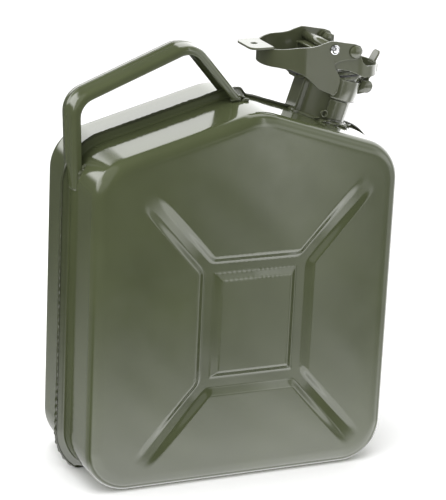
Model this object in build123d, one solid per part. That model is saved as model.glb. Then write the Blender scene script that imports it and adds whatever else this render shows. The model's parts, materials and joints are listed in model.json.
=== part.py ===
"""Five litre steel jerry can: two pressed shells, channel handle, slanted neck and lever closure.

Frame: X to the filler side, Y from front to back, Z up.  The origin is the middle of the base.
"""
from build123d import *
from math import atan2, cos, degrees, hypot, radians, sin, sqrt, tan
import os

# ---- body ------------------------------------------------------------------------------------
face_width = 230.0          # width of the flat front face, outside
shoulder_height = 237.5     # both upper corners before rounding
peak_height = 272.0         # ridge between the two sloping shoulders
peak_x = 7.0
body_depth = 103.0          # front face to back face
corner_radius = 31.0
peak_radius = 18.0
edge_radius = 9.0           # between a face and its side wall
wall = 1.0                  # sheet thickness
draft_angle = 1.0           # the sides widen towards the seam
# ---- seam ------------------------------------------------------------------------------------
rib_height = 6.0            # flange standing proud of the side wall
bead_height = 0.9
bead_width = 3.0
foot_gap = 0.8              # seam flange above the ground
foot_recess_half = 9.0      # half width of the groove that hides the seam under the can
# ---- pressed pattern -------------------------------------------------------------------------
pattern_x = 7.0
pattern_z = 118.0
pattern_width = 88.4
pattern_height = 103.4
groove_width = 17.5
groove_depth = 3.3
groove_slope = 5.2          # run of each sloping side
arm_width = 16.5
arm_reach_x = 74.0          # arm tip from the pattern's middle
arm_reach_z = 87.0
arm_fade = 9.0
# ---- handle ----------------------------------------------------------------------------------
handle_width = 27.0
handle_sheet = 1.5
handle_flange = 6.0
handle_bend = 20.0
handle_points = [(-117.8, 214.0), (-121.2, 279.0), (-30.4, 316.6), (14.0, 264.2)]
slot_clearance = 0.7
seat_gap = 0.12             # between welded sheets
weld_radius = 3.2
weld_stand = 0.6            # weld's middle outside the channel
notch_half = 5.2            # foot of the opening over the seam, at the left end
notch_low = 205.0
# ---- neck ------------------------------------------------------------------------------------
neck_radius = 20.0
neck_wall = 1.5
neck_height = 34.8          # along its axis, from the slope to the mouth's middle
neck_offset = 67.6          # from the peak along the slope
neck_inside = 4.0           # tube below the slope
breather_reach = 23.5
breather_half = 8.0
air_tube_radius = 1.6
air_tube_bore = 1.0
air_tube_depth = 62.0
flange_sheet = 2.0
flange_radius = 22.0
flange_tongue = 32.0
flange_tongue_half = 8.0
tongue_corner = 3.0
mouth_radius = 17.5         # level round mouth in the flange
breather_hole_x = -21.2
breather_hole_radius = 2.0
neck_weld_size = 2.2
# ---- hinge -----------------------------------------------------------------------------------
collar_sheet = 1.5
collar_low = -16.0
collar_high = -2.2
collar_half_angle = 88.0
hinge_u = 24.9
hinge_w = -3.3
ear_radius = 4.6
ear_inside = 9.2
ear_sheet = 2.0
pin_radius = 2.0
pin_clearance = 0.06
barrel_radius = 3.2
side_clearance = 0.3
pin_end = 0.6               # hinge pin past its ears
leaf_sheet = 1.4
leaf_offset = 0.9           # leaf's back past the pin's axis
leaf_top = 5.0
# ---- seal bracket ----------------------------------------------------------------------------
seal_center = (0.5, -25.9)
seal_size = (11.0, 10.5)
seal_corner = 1.2
seal_sheet = 1.4
eyelet_center = (-6.2, -28.9)
eyelet_outer = 3.1
eyelet_hole = 1.5
# ---- lid -------------------------------------------------------------------------------------
gasket_gap = 0.2
gasket_height = 2.2
gasket_inner = 15.0
gasket_outer = 20.4
lid_sheet = 1.2
lid_radius = 21.8
lid_tongue = 31.4
lid_tongue_half = 7.4
pivot_x = 4.2
pivot_z = 19.1
press_x = -12.0
press_z = 21.6
press_radius = 2.6
bridge_outer = 21.2
bridge_sheet = 1.5
yoke_outer = 23.7
yoke_sheet = 1.4
yoke_center_x = 3.3
rivet_radius = 2.4
rivet_head_radius = 4.5
rivet_head_height = 2.0
rivet_foot = 1.2            # riveted-over end past the shank, inside the bridge
rivet_seat = 0.25           # head above the lever's cheek
shank_fit = 0.03            # pressed shank in its hole
skirt_low = 0.6             # pan's skirt above the mouth
gasket_fit = 0.1
retainer_sheet = 1.6
retainer_fit = 0.3
center_rivet_radius = 2.0
center_rivet_foot = (4.2, 0.5)
center_rivet_head = (3.6, 1.4)
bridge_back = -20.0
bridge_floor = 4.0
bridge_front = 9.5
bridge_crown = 4.6          # above the pivot
yoke_start = -11.0
yoke_eye = 5.0
yoke_profile = [
    (-12, 12.4), (-12, 7.4), (0, 6.5), (8, 2.6), (14, -0.9), (30, -1.1), (30, 6.4), (14, 8), (10, 12.5)]
stop_width = 8.0
stop_height = 8.0
stop_base = 5.5
stop_corner = 2.0
# ---- lever -----------------------------------------------------------------------------------
cheek_inner = 24.1
cheek_sheet = 1.5
lever_tip_x = -57.5
tab_width = 30.0
tab_length = 19.0
tab_corner = 6.0
tab_angle = 9.0
tab_center = (-4.0, 21.5)   # along from the lever's tip, and up
tab_hole_x = -1.5
tab_hole_radius = 2.3
press_proud = 2.6
lever_eye = 5.7
cheek_top = [
    (-60, 20), (-56, 20.5), (-51, 21.7), (-40, 23.5), (-28.5, 24), (-21, 25.8), (-14.5, 27.8), (-5, 26.1)]
cheek_bottom = [
    (-10, 12.1), (-11, 10.5), (-10.3, 7.4), (-6.3, 1), (-6.5, -3), (-8.4, -9.5), (-10.7, -11.8),
    (-14.4, -10.1), (-22.5, -6.4), (-29, -0.7), (-34.8, 4.7), (-42.7, 8.1), (-50.5, 8.9), (-60, 8.3)]
pin_chamfer = 0.4

half_depth = body_depth / 2
seam_growth = half_depth * tan(radians(draft_angle))
left_slope = atan2(peak_height - shoulder_height, peak_x + face_width / 2)
right_slope = atan2(peak_height - shoulder_height, face_width / 2 - peak_x)
rib_outer = rib_height + bead_height
mouth_run = neck_height * sin(right_slope) + neck_offset * cos(right_slope)
mouth_x = peak_x + mouth_run
mouth_z = peak_height + seam_growth - neck_offset * sin(right_slope) + neck_height * cos(right_slope)
hinge_dx = hinge_u * cos(right_slope) + hinge_w * sin(right_slope)
hinge_dz = -hinge_u * sin(right_slope) + hinge_w * cos(right_slope)


def moved(x, z):
    """Location of a point given from the mouth's middle, in the level closure frame."""
    return Pos(mouth_x + x, 0, mouth_z + z)


def neck_place():
    """Frame with its Z along the neck and its X down the slope, at the mouth's middle."""
    return Pos(mouth_x, 0, mouth_z) * Rot(0, degrees(right_slope), 0)


def slab(sketch, y0, y1):
    """Extrude a sketch drawn in X and Z between two depths."""
    return extrude(Plane.XZ * sketch, amount=y1 - y0).moved(Location((0, y1, 0)))


def outline(grow):
    """Can outline in X and Z, grown outwards from the front face's outline."""
    points = [
        (-face_width / 2, 0),
        (face_width / 2, 0),
        (face_width / 2, shoulder_height),
        (peak_x, peak_height),
        (-face_width / 2, shoulder_height),
    ]
    sketch = make_face(Polyline(*points, close=True))
    corners = sketch.vertices()
    peak = corners.sort_by(Axis.Y)[-1]
    sides = [v for v in corners if abs(v.X - peak.X) > 1]
    sketch = fillet(sides, corner_radius)
    peak = [v for v in sketch.vertices() if abs(v.X - peak_x) < 1 and v.Y > shoulder_height]
    sketch = fillet(peak, peak_radius)
    return offset(sketch, amount=grow) if grow else sketch


def above(height):
    """Large sketch covering everything above a height."""
    return Pos(0, height + 300) * Rectangle(800, 600)


def groove_cutter(grow):
    """Pressed frame with four arms, cut into the front face; grown for the inside surface."""
    depth = groove_depth + grow

    def frustum(width, height, narrowing):
        low = Plane.XZ.offset(half_depth - depth)
        extra = narrowing / groove_depth
        top = Plane.XZ.offset(half_depth) * Rectangle(width, height)
        low = low * Rectangle(width - 2 * extra * depth, height - 2 * extra * depth)
        return loft([top.face(), low.face()])

    outer = frustum(pattern_width + 2 * grow, pattern_height + 2 * grow, groove_slope)
    island_width = pattern_width - 2 * groove_width - 2 * grow
    island_height = pattern_height - 2 * groove_width - 2 * grow
    cutter = outer - frustum(island_width, island_height, -groove_slope)
    start_x = pattern_width / 2 - groove_width / 2
    start_z = pattern_height / 2 - groove_width / 2
    length = hypot(arm_reach_x - start_x, arm_reach_z - start_z)
    angle = degrees(atan2(arm_reach_z - start_z, arm_reach_x - start_x))
    low_half = arm_width / 2 - groove_slope * depth / groove_depth
    for side_x in (-1, 1):
        for side_z in (-1, 1):
            turn = angle if side_x * side_z > 0 else -angle
            turn = turn if side_x > 0 else 180 + turn
            place = Pos(side_x * start_x, side_z * start_z) * Rot(0, 0, turn)
            end = length + grow
            top = place * Polyline(
                (0, -arm_width / 2 - grow), (end, -arm_width / 2 - grow),
                (end, arm_width / 2 + grow), (0, arm_width / 2 + grow), close=True)
            fade = arm_fade * depth / groove_depth
            low = place * Polyline(
                (0, -low_half - grow), (end - fade, -low_half - grow),
                (end - fade, low_half + grow), (0, low_half + grow), close=True)
            top = Plane.XZ.offset(half_depth) * make_face(top)
            low = Plane.XZ.offset(half_depth - depth) * make_face(low)
            cutter += loft([top.face(), low.face()])
    return cutter.moved(Location((pattern_x, 0, pattern_z)))


def half_body(inset):
    """Front half of the can as a full solid, inset from its outside surface."""
    depth = half_depth - inset
    seam = Plane.XZ * outline(seam_growth - inset)
    body = extrude(seam, amount=depth, taper=draft_angle)
    rim = body.faces().sort_by(Axis.Y)[0].edges()
    body = fillet(rim, edge_radius - inset)
    rise = rib_height + foot_gap + inset
    reach = foot_recess_half + inset
    section = Polyline((-reach, 0), (-3 - inset, rise), (3, rise), (3, -9), (-reach, -9), close=True)
    recess = extrude(Plane.YZ * make_face(section), amount=face_width, both=True)
    base = slab(above(inset), -body_depth, body_depth)
    return (body & base) - recess - groove_cutter(inset)


def seam_plate(low, high, y0, y1):
    """Flat ring around the seam between two growths of the outline, kept off the ground."""
    ground = foot_gap + bead_height - (high - rib_height if high > rib_height else 0)
    inner_floor = rib_height + foot_gap + wall if low < 0 else foot_gap + bead_height
    outer = outline(seam_growth + high) & above(ground)
    inner = outline(seam_growth + low) & above(inner_floor)
    return slab(outer - inner, y0, y1)


def neck_section(radius, reach, half):
    """Round section with the breather bulge on the handle side."""
    bulge = Pos(-reach / 2, 0) * Rectangle(reach, 2 * half)
    ends = [v for v in bulge.vertices() if v.X < -reach / 2]
    bulge = fillet(ends, 2.5)
    return Circle(radius) + bulge


def neck_solid(radius, reach, half, low, high):
    return neck_place() * extrude(Pos(0, 0, low) * neck_section(radius, reach, half), amount=high - low)


def neck_hole(clearance):
    """Everything the neck passes through, for cutting the shells and the seam."""
    radius = neck_radius + clearance
    return neck_solid(radius, breather_reach + clearance, breather_half + clearance, -60, 20)


def build_shells():
    shell = half_body(0) - half_body(wall)
    shell += seam_plate(-wall, rib_height, -wall, 0)
    shell -= neck_hole(seat_gap)
    return {"front_shell": shell, "back_shell": mirror(shell, Plane.XZ)}


def build_seam_weld():
    bead = seam_plate(rib_height, rib_outer, -bead_width / 2, bead_width / 2)
    return {"seam_weld": bead - neck_hole(seat_gap + 1.2)}


def inset_path(points, distance):
    """Same open path moved to its right by a distance."""
    lines = []
    for (x0, z0), (x1, z1) in zip(points, points[1:]):
        length = hypot(x1 - x0, z1 - z0)
        nx, nz = (z1 - z0) / length, -(x1 - x0) / length
        lines.append((x0 + nx * distance, z0 + nz * distance, (x1 - x0) / length, (z1 - z0) / length, length))
    result = [(lines[0][0], lines[0][1])]
    for a, b in zip(lines, lines[1:]):
        cross = a[2] * b[3] - a[3] * b[2]
        step = ((b[0] - a[0]) * b[3] - (b[1] - a[1]) * b[2]) / cross
        result.append((a[0] + a[2] * step, a[1] + a[3] * step))
    last = lines[-1]
    result.append((last[0] + last[2] * last[4], last[1] + last[3] * last[4]))
    return result


def strip(first, second):
    """Sketch between the handle's outer line moved in by two distances."""
    one = FilletPolyline(*inset_path(handle_points, first), radius=handle_bend - first)
    two = FilletPolyline(*inset_path(handle_points, second), radius=handle_bend - second)
    ends = [Line(one @ 0, two @ 0), Line(one @ 1, two @ 1)]
    return make_face([*one.edges(), *two.edges(), *[e.edge() for e in ends]])


def outer_body(clearance):
    half = extrude(Plane.XZ * outline(seam_growth + clearance), amount=half_depth, taper=draft_angle)
    return half + mirror(half, Plane.XZ)


def build_handle():
    channel = slab(strip(0, handle_flange), -handle_width / 2, handle_width / 2)
    inside = handle_width / 2 - handle_sheet
    channel -= slab(strip(handle_sheet, handle_flange + handle_sheet), -inside, inside)
    half_slot = bead_width / 2 + slot_clearance
    rib = outline(seam_growth + rib_outer + slot_clearance)
    channel -= slab(rib, -half_slot, half_slot)
    channel -= outer_body(seat_gap)
    notch = Polyline((-notch_half, notch_low), (notch_half, notch_low), (0, shoulder_height), close=True)
    reach = Plane.YZ.offset(handle_points[1][0] - handle_sheet)
    channel -= extrude(reach * make_face(notch), amount=3 * handle_flange)
    return {"carry_handle": channel}


def build_handle_welds(handle):
    """Weld runs where the channel's flanges meet the shells."""
    body = outer_body(seat_gap / 3)
    spots = []
    for side in (-1, 1):
        y = side * (handle_width / 2 + weld_stand)
        for x, z in weld_spots():
            ball = Pos(x, y, z) * Sphere(weld_radius)
            spots.append(ball - body - handle)
    return {"handle_welds": Compound(children=[s for spot in spots for s in spot.solids()])}


def weld_spots():
    """Flange ends on the outline, left foot then right foot."""
    inner = inset_path(handle_points, handle_flange / 2)
    left_x = inner[0][0]
    center_x = -face_width / 2 + corner_radius
    slope_z = shoulder_height + corner_radius * tan(left_slope)
    center_z = slope_z - corner_radius / cos(left_slope)
    reach = corner_radius + seam_growth
    left_z = center_z + sqrt(reach ** 2 - (left_x - center_x) ** 2) if abs(left_x - center_x) < reach else center_z
    end_x, end_z = inner[-1]
    run_x, run_z = inner[-2]
    steps = [k / 200 for k in range(201)]
    for k in steps:
        x = run_x + (end_x - run_x) * k
        z = run_z + (end_z - run_z) * k
        top = peak_height + seam_growth - abs(x - peak_x) * tan(right_slope if x > peak_x else left_slope)
        if z < top:
            break
    return [(left_x, left_z), (x, z)]


def tongue_plate(radius, tongue, half, corner):
    """Round plate with a tongue over the breather, drawn level."""
    plate = Circle(radius) + Pos(-tongue / 2, 0) * Rectangle(tongue, 2 * half)
    tips = [v for v in plate.vertices() if v.X < -tongue + 1]
    return fillet(tips, corner)


def build_neck():
    low = -neck_height - neck_inside
    bore = neck_radius - neck_wall
    outer_tube = neck_solid(neck_radius, breather_reach, breather_half, low, 30)
    inner_tube = neck_solid(bore, breather_reach - neck_wall, breather_half - neck_wall, low - 1, 31)
    tube = outer_tube - inner_tube - moved(0, 50 - flange_sheet) * Box(200, 200, 100)
    plate = tongue_plate(flange_radius, flange_tongue, flange_tongue_half, tongue_corner)
    plate -= Circle(mouth_radius)
    plate -= Pos(breather_hole_x, 0) * Circle(breather_hole_radius)
    flange = moved(0, -flange_sheet) * extrude(plate, amount=flange_sheet)
    grown = [size + neck_weld_size for size in (neck_radius, breather_reach, breather_half)]
    bead = neck_solid(*grown, -neck_height - neck_weld_size, -neck_height + neck_weld_size)
    bead = chamfer(bead.faces().sort_by(Axis.Z)[-1].edges(), neck_weld_size - 0.3)
    bead -= neck_solid(neck_radius, breather_reach, breather_half, -80, 30)
    bead -= outer_body(0)
    rib_half = bead_width / 2 + side_clearance
    rib = slab(outline(seam_growth + rib_outer + side_clearance), -rib_half, rib_half)
    weld = max(bead.solids(), key=lambda s: s.volume) - rib
    air_x = neck_wall + air_tube_radius + gasket_fit - breather_reach
    high = air_x * tan(right_slope) - flange_sheet - 1
    air = Circle(air_tube_radius) - Circle(air_tube_bore)
    air = Pos(air_x, 0, high - air_tube_depth) * extrude(air, amount=air_tube_depth)
    return {
        "neck_tube": tube,
        "mouth_flange": flange,
        "neck_weld": weld,
        "air_tube": neck_place() * air,
    }


def build_hinge():
    radius = neck_radius + seat_gap / 2
    ring = Circle(radius + collar_sheet) - Circle(radius)
    cut = collar_half_angle
    far = 60
    wedge = make_face(Polyline(
        (0, 0), (far * cos(radians(cut)), far * sin(radians(cut))), (-far, far),
        (-far, -far), (far * cos(radians(cut)), -far * sin(radians(cut))), close=True))
    collar = extrude(Pos(0, 0, collar_low) * (ring - wedge), amount=collar_high - collar_low)
    ear = Pos(hinge_u, hinge_w) * Circle(ear_radius)
    root = sqrt(radius ** 2 - (ear_inside + ear_sheet) ** 2) + 0.2
    web = make_face(Polyline(
        (root, hinge_w - ear_radius - 2.5), (hinge_u, hinge_w - ear_radius),
        (hinge_u, hinge_w + ear_radius), (root, hinge_w + ear_radius - 2.5), close=True))
    profile = ear + web - Pos(hinge_u, hinge_w) * Circle(pin_radius + pin_clearance)
    for side in (-1, 1):
        middle = side * (ear_inside + ear_sheet / 2)
        plate = slab(profile, middle - ear_sheet / 2, middle + ear_sheet / 2)
        plate -= Cylinder(radius + collar_sheet / 2, 80)
        collar += plate
    half = ear_inside + ear_sheet
    pin = Pos(hinge_u, 0, hinge_w) * Rot(90, 0, 0) * Cylinder(pin_radius, 2 * (half + pin_end))
    ends = [e for e in pin.edges() if e.geom_type == GeomType.CIRCLE]
    pin = chamfer(ends, pin_chamfer)
    return {"hinge_bracket": neck_place() * collar, "hinge_pin": neck_place() * pin}


def build_seal_bracket():
    """Small plate with an eyelet for a seal wire, on the front of the neck."""
    plate = Pos(*seal_center) * Rectangle(*seal_size)
    plate = fillet(plate.vertices(), seal_corner)
    shape = plate + Pos(*eyelet_center) * Circle(eyelet_outer) - Pos(*eyelet_center) * Circle(eyelet_hole)
    back = -neck_radius - seat_gap
    return {"seal_bracket": neck_place() * slab(shape, back - seal_sheet, back)}


def cross_hole(x, z, radius):
    """Cutter through the whole closure, along Y."""
    return Pos(x, 0, z) * Rot(90, 0, 0) * Cylinder(radius, 80)


def disc(radius, low, height):
    """Level disc on the mouth's axis."""
    return moved(0, low) * extrude(Circle(radius), amount=height)


def build_lid():
    step = lid_sheet + 0.2
    tip = tongue_corner - step
    top = gasket_gap + gasket_height + lid_sheet
    low = top - lid_sheet - retainer_sheet
    gasket = tongue_plate(gasket_outer, lid_tongue - step, lid_tongue_half - step, tip)
    gasket = moved(0, gasket_gap) * extrude(gasket - Circle(gasket_inner), amount=gasket_height)
    cup = tongue_plate(lid_radius, lid_tongue, lid_tongue_half, tongue_corner)
    cup = moved(0, skirt_low) * extrude(cup, amount=top - skirt_low)
    room = (gasket_outer + gasket_fit, lid_tongue - step + gasket_fit, lid_tongue_half - step + gasket_fit)
    cup -= moved(0, -1) * extrude(tongue_plate(*room, tip), amount=top - lid_sheet + 1)
    bore = disc(center_rivet_radius + pin_clearance, -5, 30)
    retainer = disc(gasket_inner - retainer_fit, low, retainer_sheet) - bore
    crown = pivot_z + bridge_crown
    bridge_top = press_z - press_radius - 0.15
    shape = Polyline(
        (bridge_back, top), (-8, top), (-2, top + 8), (bridge_front, pivot_z - 3), (bridge_front, pivot_z + 2),
        (6.5, crown), (2.9, crown), (-1, bridge_top), (bridge_back, bridge_top), close=True)
    inner = bridge_outer - bridge_sheet
    bridge = slab(make_face(shape), -bridge_outer, bridge_outer)
    under = bridge_top - bridge_sheet
    hollow = Polyline(
        (-40, top - 1), (40, top - 1), (40, crown + 1), (-0.5, crown + 1), (-0.5, under), (-40, under),
        close=True)
    bridge -= slab(make_face(hollow), -inner, inner)
    floor = Polyline(
        (bridge_back, top), (bridge_floor, top), (bridge_floor, top + bridge_sheet),
        (bridge_back, top + bridge_sheet), close=True)
    bridge += slab(make_face(floor), -inner, inner)
    bridge -= cross_hole(pivot_x, pivot_z, rivet_radius + shank_fit)
    rivet = disc(center_rivet_foot[0], low - center_rivet_foot[1], center_rivet_foot[1])
    rivet += disc(center_rivet_radius, low, retainer_sheet + lid_sheet + bridge_sheet)
    rivet += disc(center_rivet_head[0], top + bridge_sheet, center_rivet_head[1])
    return {
        "lid_pan": cup - bore,
        "lid_gasket": gasket,
        "gasket_plate": retainer,
        "lid_bridge": moved(0, 0) * bridge - bore,
        "lid_rivet": rivet,
    }


def bent_strip(center, start, radius, sheet):
    """Level U-shaped strip: a half turn about a centre and two straight legs towards a start."""
    def plan(size):
        run = abs(center - start)
        legs = Pos((center + start) / 2, 0) * Rectangle(run, 2 * size)
        side = Circle(size) & Pos(size if center > start else -size, 0) * Rectangle(2 * size, 2 * size)
        return Pos(center, 0) * side + legs

    return extrude(Pos(0, 0, -30) * (plan(radius) - plan(radius - sheet)), amount=80)


def build_yoke():
    """Strap round the back of the neck, from the pivot rivets down to the hinge."""
    profile = yoke_profile + [(pivot_x + yoke_eye, pivot_z), (pivot_x - yoke_eye, pivot_z), (-2, 13)]
    side = make_face(Polyline(*profile, close=True)) + Pos(pivot_x, pivot_z) * Circle(yoke_eye)
    yoke = bent_strip(yoke_center_x, yoke_start, yoke_outer, yoke_sheet) & slab(side, -40, 40)
    stop = Rectangle(stop_width, stop_height)
    stop = chamfer([v for v in stop.vertices() if v.Y > 0], stop_corner)
    back = yoke_center_x + yoke_outer
    stop = Plane.YZ.offset(back - yoke_sheet + 0.2) * Pos(0, stop_base + stop_height / 2) * stop
    yoke += extrude(stop, amount=yoke_sheet - 0.2)
    yoke -= cross_hole(pivot_x, pivot_z, rivet_radius + shank_fit)
    half = ear_inside - side_clearance
    out = hinge_dx + leaf_offset
    leaf = make_face(Polyline(
        (out - leaf_sheet, hinge_dz), (out, hinge_dz), (out, leaf_top), (out - leaf_sheet, leaf_top), close=True))
    knuckle = leaf + Pos(hinge_dx, hinge_dz) * Circle(barrel_radius)
    knuckle -= Pos(hinge_dx, hinge_dz) * Circle(pin_radius + pin_clearance)
    leaf = slab(knuckle, -half, half) - yoke
    leaf = max(leaf.solids(), key=lambda s: s.volume)
    return {"yoke_strap": moved(0, 0) * yoke, "hinge_leaf": moved(0, 0) * leaf}


def build_lever():
    center = lever_tip_x + cheek_inner + cheek_sheet
    band = bent_strip(center, pivot_x + lever_eye + 1, cheek_inner + cheek_sheet, cheek_sheet)
    profile = cheek_top + [(pivot_x, pivot_z + lever_eye), (pivot_x, pivot_z - lever_eye)] + cheek_bottom
    side = make_face(Polyline(*profile, close=True)) + Pos(pivot_x, pivot_z) * Circle(lever_eye)
    lever = band & slab(side, -40, 40)
    tab = Rectangle(tab_length, tab_width)
    tab = fillet([v for v in tab.vertices() if v.X < 0], tab_corner)
    tab = extrude(tab - Pos(tab_hole_x, 0) * Circle(tab_hole_radius), amount=cheek_sheet)
    lever += Pos(lever_tip_x + tab_center[0], 0, tab_center[1]) * Rot(0, tab_angle, 0) * tab
    lever -= cross_hole(pivot_x, pivot_z, rivet_radius + pin_clearance)
    lever -= cross_hole(press_x, press_z, press_radius + pin_clearance)
    half = cheek_inner + cheek_sheet + press_proud
    press = moved(press_x, press_z) * Rot(90, 0, 0) * Cylinder(press_radius, 2 * half)
    press = chamfer([e for e in press.edges() if e.geom_type == GeomType.CIRCLE], pin_chamfer)
    return {"lever": moved(0, 0) * lever, "press_pin": press}


def build_pivots():
    """Domed rivets that the lever turns on, one each side."""
    foot_high = bridge_outer - bridge_sheet
    head_low = cheek_inner + cheek_sheet + rivet_seat
    shank = slab(Circle(rivet_radius), foot_high - 1, head_low)
    foot = slab(Circle(rivet_radius + rivet_foot), foot_high - 1.8, foot_high - 0.02)
    ball_radius = (rivet_head_radius ** 2 + rivet_head_height ** 2) / (2 * rivet_head_height)
    ball = Pos(0, head_low + rivet_head_height - ball_radius, 0) * Sphere(ball_radius)
    half = Pos(0, head_low + 2 * ball_radius, 0) * Box(*[4 * ball_radius] * 3)
    back = moved(pivot_x, pivot_z) * (shank + foot + (ball & half))
    return {"back_pivot_rivet": back, "front_pivot_rivet": mirror(back, Plane.XZ)}


def build_all():
    parts = {}
    parts.update(build_shells())
    parts.update(build_seam_weld())
    parts.update(build_handle())
    parts.update(build_handle_welds(parts["carry_handle"]))
    parts.update(build_neck())
    parts.update(build_hinge())
    parts.update(build_seal_bracket())
    parts.update(build_lid())
    parts.update(build_yoke())
    parts.update(build_lever())
    parts.update(build_pivots())
    return parts


os.makedirs("parts", exist_ok=True)
for name, shape in build_all().items():
    solids = shape.solids()
    whole = solids[0] if len(solids) == 1 else Compound(children=solids)
    export_step(whole, "parts/" + name + ".step")
    print(name, len(solids), round(sum(s.volume for s in solids), 1))
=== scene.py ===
# %% [markdown]
# A five litre steel jerry can is two pressed shells welded along a flange, a folded channel for a
# handle, a slanted neck and a lever that clamps a hinged lid.  The dimensions come from the packed
# model; this notebook gives each visible piece its pressed, rolled or welded surface and its paint.

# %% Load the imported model
import json

import bmesh
import bpy
import numpy as np
from mathutils import Matrix, Vector


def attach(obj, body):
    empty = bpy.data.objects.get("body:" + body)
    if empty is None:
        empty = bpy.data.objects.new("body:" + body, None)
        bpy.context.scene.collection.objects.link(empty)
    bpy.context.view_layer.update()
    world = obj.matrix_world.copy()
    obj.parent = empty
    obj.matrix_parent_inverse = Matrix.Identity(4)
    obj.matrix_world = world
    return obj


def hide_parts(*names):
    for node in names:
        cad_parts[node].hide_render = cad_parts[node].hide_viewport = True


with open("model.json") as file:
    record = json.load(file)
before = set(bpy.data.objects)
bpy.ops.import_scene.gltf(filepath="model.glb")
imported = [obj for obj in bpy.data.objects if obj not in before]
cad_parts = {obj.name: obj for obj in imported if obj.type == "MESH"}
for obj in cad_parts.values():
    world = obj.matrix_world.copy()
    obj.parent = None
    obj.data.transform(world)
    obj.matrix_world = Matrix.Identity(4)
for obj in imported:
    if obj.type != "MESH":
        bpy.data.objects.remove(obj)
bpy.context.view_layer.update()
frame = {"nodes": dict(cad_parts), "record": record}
MM = 0.001

# %% [markdown]
# Every new piece is a grid of points worked out as one array.  This helper turns such a grid into a
# mesh: neighbouring points in both directions make four-sided faces, doubled points are merged and
# the faces are turned outwards.

# %% Helpers: from arrays to meshes
def grid_faces(rows, cols, wrap_rows=False, wrap_cols=False):
    """Corner numbers of each face: point (i, j) joins (i, j+1), (i+1, j+1) and (i+1, j)."""
    i = np.arange(rows if wrap_rows else rows - 1)
    j = np.arange(cols if wrap_cols else cols - 1)
    i, j = np.meshgrid(i, j, indexing="ij")
    a = (i % rows) * cols + j % cols
    b = (i % rows) * cols + (j + 1) % cols
    c = ((i + 1) % rows) * cols + (j + 1) % cols
    d = ((i + 1) % rows) * cols + j % cols
    return np.stack([a, b, c, d], -1).reshape(-1, 4)


def make_piece(name, parts, body, material, replaced=(), keep=None, merge=0.01):
    """Mesh from (points in mm, faces) parts; keep is a test on points that a face must pass."""
    points, faces, start = [], [], 0
    for p, f in parts:
        p = np.asarray(p, float).reshape(-1, 3)
        points.append(p)
        faces.append(np.asarray(f) + start)
        start += len(p)
    points, faces = np.concatenate(points), np.concatenate(faces)
    if keep is not None:
        faces = faces[keep(points)[faces].all(1)]
    mesh = bpy.data.meshes.new(name)
    mesh.from_pydata((points * MM).tolist(), [], faces.tolist())
    work = bmesh.new()
    work.from_mesh(mesh)
    loose = [v for v in work.verts if not v.link_faces]
    bmesh.ops.delete(work, geom=loose, context="VERTS")
    bmesh.ops.remove_doubles(work, verts=work.verts, dist=merge * MM)
    bmesh.ops.dissolve_degenerate(work, edges=work.edges, dist=1e-7)
    bmesh.ops.recalc_face_normals(work, faces=work.faces)
    work.to_mesh(mesh)
    work.free()
    mesh.polygons.foreach_set("use_smooth", np.ones(len(mesh.polygons), bool))
    piece = bpy.data.objects.new(name, mesh)
    bpy.context.scene.collection.objects.link(piece)
    mesh.materials.append(material)
    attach(piece, body)
    if replaced:
        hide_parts(*replaced)
    print(name, len(mesh.polygons), "faces")
    return piece


def sine_noise(x, y=0.0, seed=0):
    """Smooth repeatable unevenness between about -1 and 1: five sine waves added together."""
    rng = np.random.default_rng(seed)
    total = 0
    for k in range(5):
        fx = rng.uniform(0.6, 1.9) * (1 + k)
        fy = rng.uniform(0.6, 1.9) * (1 + k)
        phase = rng.uniform(0, 6.28)
        total = total + np.sin(fx * x + fy * y + phase) / (1 + k)
    return total / 2.3


def smoothstep(t):
    """Zero below 0, one above 1, and an S-shaped rise between."""
    t = np.clip(t, 0, 1)
    return t * t * (3 - 2 * t)


# %% [markdown]
# The paint is a glossy olive enamel.  It is built from a Principled shader: a slow noise shifts the
# colour a little, a fine noise gives the orange-peel ripple of sprayed enamel, and a Bevel node
# rounds the sharp edges of the folded parts where paint gathers.

# %% Paint, rubber and plated steel
def new_material(name):
    material = bpy.data.materials.new(name)
    material.use_nodes = True
    nodes, links = material.node_tree.nodes, material.node_tree.links
    shader = nodes["Principled BSDF"]
    place = nodes.new("ShaderNodeTexCoord")
    return material, nodes, links, shader, place.outputs["Object"]


def noise(nodes, links, place, scale, detail=2.0, rough=0.5):
    node = nodes.new("ShaderNodeTexNoise")
    node.inputs["Scale"].default_value = scale
    node.inputs["Detail"].default_value = detail
    node.inputs["Roughness"].default_value = rough
    links.new(place, node.inputs["Vector"])
    return node.outputs["Fac"]


def ramp(nodes, links, value, stops):
    node = nodes.new("ShaderNodeValToRGB")
    while len(node.color_ramp.elements) < len(stops):
        node.color_ramp.elements.new(0.5)
    for element, (at, color) in zip(node.color_ramp.elements, stops):
        element.position = at
        element.color = (*color, 1)
    links.new(value, node.inputs["Fac"])
    return node.outputs["Color"]


def bump(nodes, links, height, strength, distance, normal=None):
    node = nodes.new("ShaderNodeBump")
    node.inputs["Strength"].default_value = strength
    node.inputs["Distance"].default_value = distance
    links.new(height, node.inputs["Height"])
    if normal is not None:
        links.new(normal, node.inputs["Normal"])
    return node.outputs["Normal"]


def rounded(nodes, radius):
    node = nodes.new("ShaderNodeBevel")
    node.samples = 6
    node.inputs["Radius"].default_value = radius
    return node.outputs["Normal"]


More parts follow.
